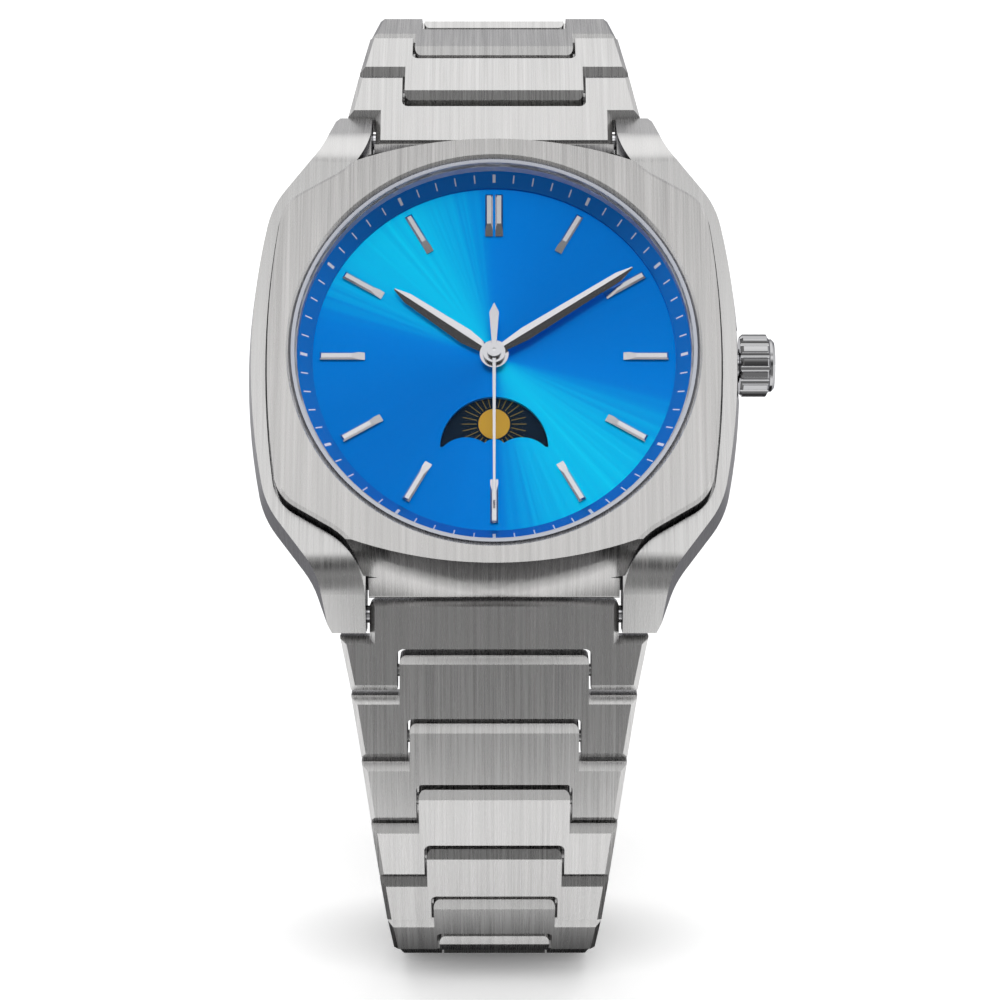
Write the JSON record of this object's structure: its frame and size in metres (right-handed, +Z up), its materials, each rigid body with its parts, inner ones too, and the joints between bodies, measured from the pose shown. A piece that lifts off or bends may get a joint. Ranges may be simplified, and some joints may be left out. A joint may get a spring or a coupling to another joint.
{
  "type": "wristwatch",
  "caption": "Cushion-shaped steel wristwatch with an integrated link bracelet, fluted crown, blue dial with bar markers and a moon phase window.",
  "frame": {"origin": "on the floor that the closed bracelet stands on, below the middle of the eighth link on the 6 o'clock side, in the symmetry plane of the case", "axes": "+Z up; +X towards 3 o'clock (the crown); -Y towards the viewer, with the dial facing -Y and tilted back 30 degrees"},
  "size_m": [0.0428, 0.0648, 0.0802],
  "materials": {
    "steel": "brushed",
    "polished_steel": "polished",
    "crystal": "clear",
    "dial_blue": "sunray",
    "ring_blue": "satin",
    "rubber": "matte",
    "holder_plastic": "matte",
    "gold": "polished",
    "moon_blue": "satin",
    "copper": "enamelled wire"
  },
  "bodies": {
    "case": {"case_middle": "steel", "bezel": "steel", "crystal": "crystal", "crystal_gasket": "rubber", "chapter_ring": "ring_blue", "dial": "dial_blue", "hour_markers": "polished_steel", "case_back": "steel", "case_back_gasket": "rubber", "movement_holder": "holder_plastic", "movement_mainplate": "gold", "movement_bridge": "polished_steel", "battery": "polished_steel", "motor_coil": "copper", "crown_tube": "polished_steel", "lug_bars": "polished_steel"},
    "hour": {"hour_hand": "polished_steel", "hour_wheel": "gold"},
    "minute": {"minute_hand": "polished_steel", "cannon_pinion": "gold"},
    "seconds": {"seconds_hand": "polished_steel", "seconds_arbor": "polished_steel"},
    "moon": {"moon_disc": "moon_blue", "moon_foils": "gold"},
    "lever": {"setting_lever": "gold"},
    "crown_and_stem": {"crown": "polished_steel", "crown_stem": "polished_steel"},
    "end_link_twelve": {"end_link_twelve": "steel"},
    "link_twelve_01": {"link_twelve_01": "steel"},
    "link_twelve_02": {"link_twelve_02": "steel"},
    "link_twelve_03": {"link_twelve_03": "steel"},
    "link_twelve_04": {"link_twelve_04": "steel"},
    "link_twelve_05": {"link_twelve_05": "steel"},
    "link_twelve_06": {"link_twelve_06": "steel"},
    "link_twelve_07": {"link_twelve_07": "steel"},
    "link_twelve_08": {"link_twelve_08": "steel"},
    "link_twelve_09": {"link_twelve_09": "steel"},
    "link_twelve_10": {"link_twelve_10": "steel"},
    "link_twelve_11": {"link_twelve_11": "steel"},
    "link_twelve_12": {"link_twelve_12": "steel"},
    "end_link_six": {"end_link_six": "steel"},
    "link_six_01": {"link_six_01": "steel"},
    "link_six_02": {"link_six_02": "steel"},
    "link_six_03": {"link_six_03": "steel"},
    "link_six_04": {"link_six_04": "steel"},
    "link_six_05": {"link_six_05": "steel"},
    "link_six_06": {"link_six_06": "steel"},
    "link_six_07": {"link_six_07": "steel"},
    "link_six_08": {"link_six_08": "steel"},
    "link_six_09": {"link_six_09": "steel"},
    "link_six_10": {"link_six_10": "steel"},
    "link_six_11": {"link_six_11": "steel"},
    "link_six_12": {"link_six_12": "steel"},
    "cover": {"clasp_cover": "steel", "clasp_cover_pin": "polished_steel"},
    "middle_blade": {"clasp_middle_blade": "steel", "clasp_blade_pin": "polished_steel"},
    "inner_blade": {"clasp_inner_blade": "steel"},
    "pusher_left": {"clasp_pusher_left": "polished_steel"},
    "pusher_right": {"clasp_pusher_right": "polished_steel"}
  },
  "joints": [
    {"name": "hour_turn", "type": "hinge", "parent": "case", "child": "hour", "pos_m": [0, -0.01415, 0.05493], "axis": [0, 0.866, -0.5], "continuous": true},
    {"name": "minute_turn", "type": "hinge", "parent": "case", "child": "minute", "pos_m": [0, -0.01458, 0.05518], "axis": [0, 0.866, -0.5], "continuous": true},
    {"name": "seconds_turn", "type": "hinge", "parent": "case", "child": "seconds", "pos_m": [0, -0.01497, 0.05541], "axis": [0, 0.866, -0.5], "continuous": true},
    {"name": "moon_turn", "type": "hinge", "parent": "case", "child": "moon", "pos_m": [0, -0.017, 0.0476], "axis": [0, 0.866, -0.5], "continuous": true},
    {"name": "crown_pull", "type": "slide", "parent": "case", "child": "lever", "axis": [1, 0, 0], "range_m": [0, 0.001]},
    {"name": "crown_turn", "type": "hinge", "parent": "lever", "child": "crown_and_stem", "pos_m": [0.021, -0.0119, 0.05363], "axis": [1, 0, 0], "continuous": true},
    {"name": "end_link_twelve_hinge", "type": "hinge", "parent": "case", "child": "end_link_twelve", "pos_m": [0, -0.0003, 0.07065], "axis": [1, 0, 0], "range_deg": [0, 3]},
    {"name": "link_twelve_01_hinge", "type": "hinge", "parent": "end_link_twelve", "child": "link_twelve_01", "pos_m": [0, 0.00259, 0.0741], "axis": [1, 0, 0], "range_deg": [0, 21.8]},
    {"name": "link_twelve_02_hinge", "type": "hinge", "parent": "link_twelve_01", "child": "link_twelve_02", "pos_m": [0, 0.00724, 0.07703], "axis": [1, 0, 0], "range_deg": [0, 21.3]},
    {"name": "link_twelve_03_hinge", "type": "hinge", "parent": "link_twelve_02", "child": "link_twelve_03", "pos_m": [0, 0.01256, 0.07844], "axis": [1, 0, 0], "range_deg": [0, 25.2]},
    {"name": "link_twelve_04_hinge", "type": "hinge", "parent": "link_twelve_03", "child": "link_twelve_04", "pos_m": [0, 0.01803, 0.07784], "axis": [1, 0, 0], "range_deg": [0, 17.3]},
    {"name": "link_twelve_05_hinge", "type": "hinge", "parent": "link_twelve_04", "child": "link_twelve_05", "pos_m": [0, 0.02321, 0.07599], "axis": [1, 0, 0], "range_deg": [0, 16.9]},
    {"name": "link_twelve_06_hinge", "type": "hinge", "parent": "link_twelve_05", "child": "link_twelve_06", "pos_m": [0, 0.02785, 0.07304], "axis": [1, 0, 0], "range_deg": [0, 16.3]},
    {"name": "link_twelve_07_hinge", "type": "hinge", "parent": "link_twelve_06", "child": "link_twelve_07", "pos_m": [0, 0.03175, 0.06916], "axis": [1, 0, 0], "range_deg": [0, 15.7]},
    {"name": "link_twelve_08_hinge", "type": "hinge", "parent": "link_twelve_07", "child": "link_twelve_08", "pos_m": [0, 0.03478, 0.06458], "axis": [1, 0, 0], "range_deg": [0, 15.1]},
    {"name": "link_twelve_09_hinge", "type": "hinge", "parent": "link_twelve_08", "child": "link_twelve_09", "pos_m": [0, 0.03688, 0.05949], "axis": [1, 0, 0], "range_deg": [0, 14.5]},
    {"name": "link_twelve_10_hinge", "type": "hinge", "parent": "link_twelve_09", "child": "link_twelve_10", "pos_m": [0, 0.03801, 0.05411], "axis": [1, 0, 0], "range_deg": [0, 14]},
    {"name": "link_twelve_11_hinge", "type": "hinge", "parent": "link_twelve_10", "child": "link_twelve_11", "pos_m": [0, 0.0382, 0.04861], "axis": [1, 0, 0], "range_deg": [0, 13.7]},
    {"name": "link_twelve_12_hinge", "type": "hinge", "parent": "link_twelve_11", "child": "link_twelve_12", "pos_m": [0, 0.03745, 0.04316], "axis": [1, 0, 0], "range_deg": [0, 13.5]},
    {"name": "end_link_six_hinge", "type": "hinge", "parent": "case", "child": "end_link_six", "pos_m": [0, -0.02084, 0.03508], "axis": [-1, 0, 0], "range_deg": [0, 15]},
    {"name": "link_six_01_hinge", "type": "hinge", "parent": "end_link_six", "child": "link_six_01", "pos_m": [0, -0.02146, 0.03062], "axis": [-1, 0, 0], "range_deg": [0, 11.6]},
    {"name": "link_six_02_hinge", "type": "hinge", "parent": "link_six_01", "child": "link_six_02", "pos_m": [0, -0.0215, 0.02512], "axis": [-1, 0, 0], "range_deg": [0, 10.7]},
    {"name": "link_six_03_hinge", "type": "hinge", "parent": "link_six_02", "child": "link_six_03", "pos_m": [0, -0.0209, 0.01966], "axis": [-1, 0, 0], "range_deg": [0, 14.6]},
    {"name": "link_six_04_hinge", "type": "hinge", "parent": "link_six_03", "child": "link_six_04", "pos_m": [0, -0.0193, 0.0144], "axis": [-1, 0, 0], "range_deg": [0, 15.2]},
    {"name": "link_six_05_hinge", "type": "hinge", "parent": "link_six_04", "child": "link_six_05", "pos_m": [0, -0.01671, 0.00954], "axis": [-1, 0, 0], "range_deg": [0, 18.4]},
    {"name": "link_six_06_hinge", "type": "hinge", "parent": "link_six_05", "child": "link_six_06", "pos_m": [0, -0.01299, 0.00549], "axis": [-1, 0, 0], "range_deg": [0, 24.4]},
    {"name": "link_six_07_hinge", "type": "hinge", "parent": "link_six_06", "child": "link_six_07", "pos_m": [0, -0.0081, 0.00298], "axis": [-1, 0, 0], "range_deg": [0, 17.6]},
    {"name": "link_six_08_hinge", "type": "hinge", "parent": "link_six_07", "child": "link_six_08", "pos_m": [0, -0.00275, 0.0017], "axis": [-1, 0, 0], "range_deg": [0, 17.5]},
    {"name": "link_six_09_hinge", "type": "hinge", "parent": "link_six_08", "child": "link_six_09", "pos_m": [0, 0.00275, 0.0017], "axis": [-1, 0, 0], "range_deg": [0, 4]},
    {"name": "link_six_10_hinge", "type": "hinge", "parent": "link_six_09", "child": "link_six_10", "pos_m": [0, 0.00825, 0.0017], "axis": [-1, 0, 0], "range_deg": [0, 23.8]},
    {"name": "link_six_11_hinge", "type": "hinge", "parent": "link_six_10", "child": "link_six_11", "pos_m": [0, 0.01342, 0.00356], "axis": [-1, 0, 0], "range_deg": [0, 18.8]},
    {"name": "link_six_12_hinge", "type": "hinge", "parent": "link_six_11", "child": "link_six_12", "pos_m": [0, 0.01795, 0.00669], "axis": [-1, 0, 0], "range_deg": [0, 18.2]},
    {"name": "clasp_cover_hinge", "type": "hinge", "parent": "link_six_12", "child": "cover", "pos_m": [0, 0.02157, 0.01082], "axis": [-1, 0, 0], "range_deg": [0, 17.47]},
    {"name": "clasp_cover_fold", "type": "hinge", "parent": "cover", "child": "middle_blade", "pos_m": [0, 0.03347, 0.03463], "axis": [-1, 0, 0], "range_deg": [0, 100]},
    {"name": "clasp_blade_fold", "type": "hinge", "parent": "middle_blade", "child": "inner_blade", "pos_m": [0, 0.02266, 0.01579], "axis": [1, 0, 0], "range_deg": [0, 100]},
    {"name": "clasp_pusher_left_press", "type": "slide", "parent": "cover", "child": "pusher_left", "axis": [1, 0, 0], "range_m": [0, 0.0006], "stiffness_N_per_m": 300, "springref_m": -0.0005},
    {"name": "clasp_pusher_right_press", "type": "slide", "parent": "cover", "child": "pusher_right", "axis": [-1, 0, 0], "range_m": [0, 0.0006], "stiffness_N_per_m": 300, "springref_m": -0.0005}
  ],
  "couplings": [
    {"joint": "hour_turn", "follows": "minute_turn", "ratio": 0.083333},
    {"joint": "moon_turn", "follows": "minute_turn", "ratio": 0.00070621}
  ]
}
